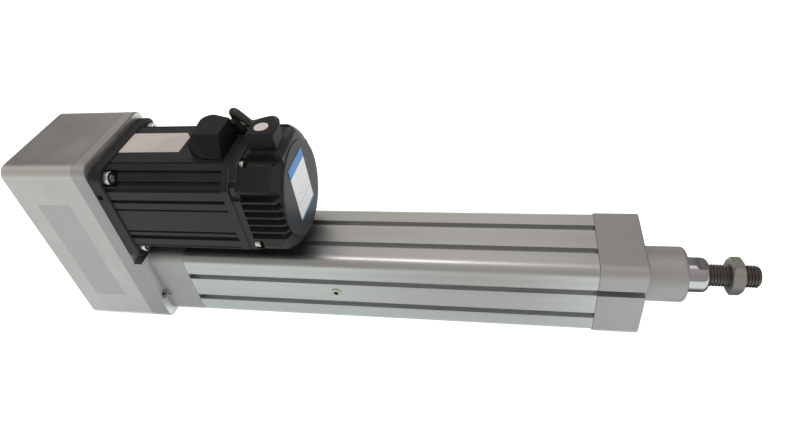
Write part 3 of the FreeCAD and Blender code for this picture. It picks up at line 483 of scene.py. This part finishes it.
# ---------------------------------------------------------------- rod thread
def rod_thread():
    """The rod's stud with its M16 x 2 thread: a helical strip, clamped at both ends, and the plain shank."""
    pitch, segs = 2.0, 96
    x_s, x_e = 45.5, 80.6
    crest, depth, tip = 7.93, 1.0, 6.45
    prof = [(0.0, 1.0), (0.0625, 1.03), (0.125, 1.0), (0.28125, 0.5), (0.4375, 0.0), (0.5625, -0.03), (0.6875, 0.0), (0.84375, 0.5)]
    k = len(prof)
    turns = int((x_e - x_s) / pitch) + 3
    bm = bmesh.new()
    grid = []
    for i in range(turns * k + 1):
        t, (p, h) = i // k, prof[i % k]
        row = []
        for j in range(segs):
            a = 2 * math.pi * j / segs
            x = min(max(x_s - pitch + (t + p + j / segs) * pitch, x_s), x_e)
            grow = min(max((x - 45.6) / 0.8, 0.0), 1.0)
            cut = min(max((x - 46.2) / 2.2, 0.0), 1.0)
            r = min(7.6 + (crest - 7.6) * grow - depth * (1.0 - h) * cut, tip + (x_e - x))
            if x <= x_s:
                r = 7.6
            row.append(bm.verts.new((x * MM, r * math.cos(a) * MM, r * math.sin(a) * MM)))
        grid.append(row)
    for i in range(len(grid) - 1):
        for j in range(segs):
            if j + 1 < segs:
                quad = (grid[i][j], grid[i][j + 1], grid[i + 1][j + 1], grid[i + 1][j])
            elif i + 1 + k < len(grid):
                quad = (grid[i][j], grid[i + k][0], grid[i + 1 + k][0], grid[i + 1][j])
            else:
                continue
            bm.faces.new(quad)
    bmesh.ops.remove_doubles(bm, verts=bm.verts, dist=1e-7)
    bmesh.ops.dissolve_degenerate(bm, dist=1e-7, edges=bm.edges)

    def loop_at(x):
        edge = [v for v in bm.verts if abs(v.co.x - x * MM) < 1e-7 and any(e.is_boundary for e in v.link_edges)]
        return sorted(edge, key=lambda v: math.atan2(v.co.z, v.co.y))

    def close(loop, rings):
        for x, r in rings:
            nxt = []
            for v in loop:
                a = math.atan2(v.co.z, v.co.y)
                nxt.append(bm.verts.new((x * MM, r * math.cos(a) * MM, r * math.sin(a) * MM)))
            for i in range(len(loop)):
                n = (i + 1) % len(loop)
                bm.faces.new((loop[i], loop[n], nxt[n], nxt[i]))
            loop = nxt
        bm.faces.new(loop)

    close(loop_at(x_e), [(x_e, 5.6), (x_e - 0.25, 5.2)])
    close(loop_at(x_s), [(29.9, 7.6), (29.9, 8.72), (6.0, 8.72)])
    bmesh.ops.recalc_face_normals(bm, faces=bm.faces)
    mesh = bpy.data.meshes.new("rod_thread")
    bm.to_mesh(mesh)
    bm.free()
    mesh.polygons.foreach_set("use_smooth", [True] * len(mesh.polygons))
    mesh.set_sharp_from_angle(angle=math.radians(34))
    mesh.materials.append(MATS["dark_steel"])
    obj = bpy.data.objects.new("rod_thread", mesh)
    scene.collection.objects.link(obj)
    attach(obj, "rod")
    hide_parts("rod_stud")
    return obj


rod_thread()

# ---------------------------------------------------------------- floor, light
mesh = bpy.data.meshes.new("floor")
bm = bmesh.new()
bmesh.ops.create_circle(bm, cap_ends=True, segments=96, radius=9.0)
bm.to_mesh(mesh)
bm.free()
floor = bpy.data.objects.new("floor", mesh)
floor.location = (-0.18, 0.04, -0.03305)
scene.collection.objects.link(floor)
fm = Mat("floor")
# a glowing white sweep; for reflected light its colour and glow are painted darker under the rod and in front of the
# tube's middle: a painted shadow seen only in reflections
fx, fy, fz = fm.xyz()
under = fm.math("MULTIPLY", fm.span(fx, 0.19, 0.215, 0, 1, True), fm.span(fy, -0.085, -0.055, 0, 1, True))
front = fm.math("MULTIPLY", fm.span(fx, -0.10, 0.05, 0, 1, True), fm.span(fx, 0.09, 0.19, 1, 0, True))
front = fm.math("MULTIPLY", front, fm.span(fy, -0.06, -0.12, 0, 0.65, True))
seen = fm.node("ShaderNodeLightPath").outputs["Is Camera Ray"]
shade = fm.math("MULTIPLY", under, fm.math("SUBTRACT", 1.0, seen))
base = fm.mix(fm.span(fm.noise(3.0, 3.0, 0.5), 0.3, 0.7, 0, 1), (0.80, 0.80, 0.80), (0.84, 0.84, 0.84))
fm.color(fm.mix(shade, base, (0.12, 0.125, 0.14)))
fm.rough(fm.span(fm.noise(40, 3.0, 0.5), 0.3, 0.7, 0.62, 0.72))
fm.put(fm.bsdf.inputs["Emission Color"], fm.mix(seen, (0.88, 1.0, 0.99), (1.0, 1.0, 1.0)))
glow = fm.math("MULTIPLY", 0.55, fm.math("SUBTRACT", fm.math("SUBTRACT", 1.0, fm.math("MULTIPLY", under, 0.92)), front))
fm.put(fm.bsdf.inputs["Emission Strength"], fm.math("MAXIMUM", glow, fm.math("MULTIPLY", seen, 0.80)))
mesh.materials.append(fm.m)


def area(name, place, aim, size, power, tint):
    d = bpy.data.lights.new(name, "AREA")
    d.shape = "RECTANGLE"
    d.size, d.size_y = size
    d.energy = power
    d.color = tint
    o = bpy.data.objects.new(name, d)
    o.location = place
    o.rotation_mode = "QUATERNION"
    o.rotation_quaternion = (Vector(aim) - Vector(place)).to_track_quat("-Z", "Y")
    scene.collection.objects.link(o)
    return o


area("overhead_softbox", (-0.74, 0.30, 2.9), (-0.3, 0.1, 0.0), (0.80, 0.8), 8.6, (1.0, 0.955, 0.945))
side = area("side_softbox", (0.97, 0.36, 0.50), (-0.24, 0.0, 0.08), (0.45, 0.45), 4.6, (1.0, 0.985, 0.97))
side.visible_glossy = False

# a dim studio: paler towards the back and the right, darkest in front and overhead
world = bpy.data.worlds.new("studio")
scene.world = world
world.use_nodes = True
wt = world.node_tree
wt.nodes.clear()


def wnode(kind, **props):
    n = wt.nodes.new(kind)
    for k, v in props.items():
        setattr(n, k, v)
    return n


def wramp(value, lo, hi, out_lo, out_hi):
    n = wnode("ShaderNodeMapRange", interpolation_type="SMOOTHSTEP")
    wt.links.new(value, n.inputs["Value"])
    n.inputs["From Min"].default_value, n.inputs["From Max"].default_value = lo, hi
    n.inputs["To Min"].default_value, n.inputs["To Max"].default_value = out_lo, out_hi
    return n.outputs[0]


def wmath(op, a, b):
    n = wnode("ShaderNodeMath", operation=op)
    for i, v in enumerate((a, b)):
        if hasattr(v, "is_output"):
            wt.links.new(v, n.inputs[i])
        else:
            n.inputs[i].default_value = v
    return n.outputs[0]


sep = wnode("ShaderNodeSeparateXYZ")
wt.links.new(wnode("ShaderNodeTexCoord").outputs["Generated"], sep.inputs[0])
wx, wy, wz = sep.outputs
level = wmath("ADD", wramp(wy, -0.3, 0.8, 0.45, 0.66), wramp(wx, -0.55, -0.1, -0.20, 0.06))
level = wmath("ADD", level, wramp(wx, -0.72, -0.58, -0.37, 0.0))
level = wmath("SUBTRACT", level, wmath("MULTIPLY", wramp(wx, 0.13, 0.31, 0.0, 1.0), wramp(wy, 0.0, 0.45, 0.12, 0.54)))
level = wmath("MULTIPLY", level, wramp(wz, 0.60, 0.95, 1.0, 1.2))
# a pale flat at the far left, in front
level = wmath("ADD", level, wmath("MULTIPLY", wramp(wx, -0.67, -0.57, 0.60, 0.0), wramp(wy, 0.10, 0.50, 1.0, 0.0)))
patch = wmath("MULTIPLY", wramp(wx, -0.50, -0.28, 0.0, 0.29), wramp(wx, -0.06, 0.02, 1.0, 0.0))
patch = wmath("ADD", patch, wmath("MULTIPLY", wramp(wx, 0.20, 0.26, 0.0, 0.62), wramp(wx, 0.34, 0.44, 1.0, 0.0)))
patch = wmath("MULTIPLY", patch, wmath("MULTIPLY", wramp(wy, -0.10, -0.02, 0.0, 1.0), wramp(wy, 0.24, 0.34, 1.0, 0.0)))
patch = wmath("MULTIPLY", patch, wramp(wz, 0.6, 0.7, 0.0, 1.0))
level = wmath("MAXIMUM", wmath("ADD", level, patch), 0.02)
ray = wnode("ShaderNodeLightPath")
level = wmath("ADD", level, wmath("MULTIPLY", ray.outputs["Is Camera Ray"], 1.3))
wb = wnode("ShaderNodeBackground")
wb.inputs[0].default_value = (1.0, 0.94, 0.89, 1)
wt.links.new(level, wb.inputs[1])
wo = wnode("ShaderNodeOutputWorld")
wt.links.new(wb.outputs[0], wo.inputs[0])

scene.view_settings.view_transform = "Standard"
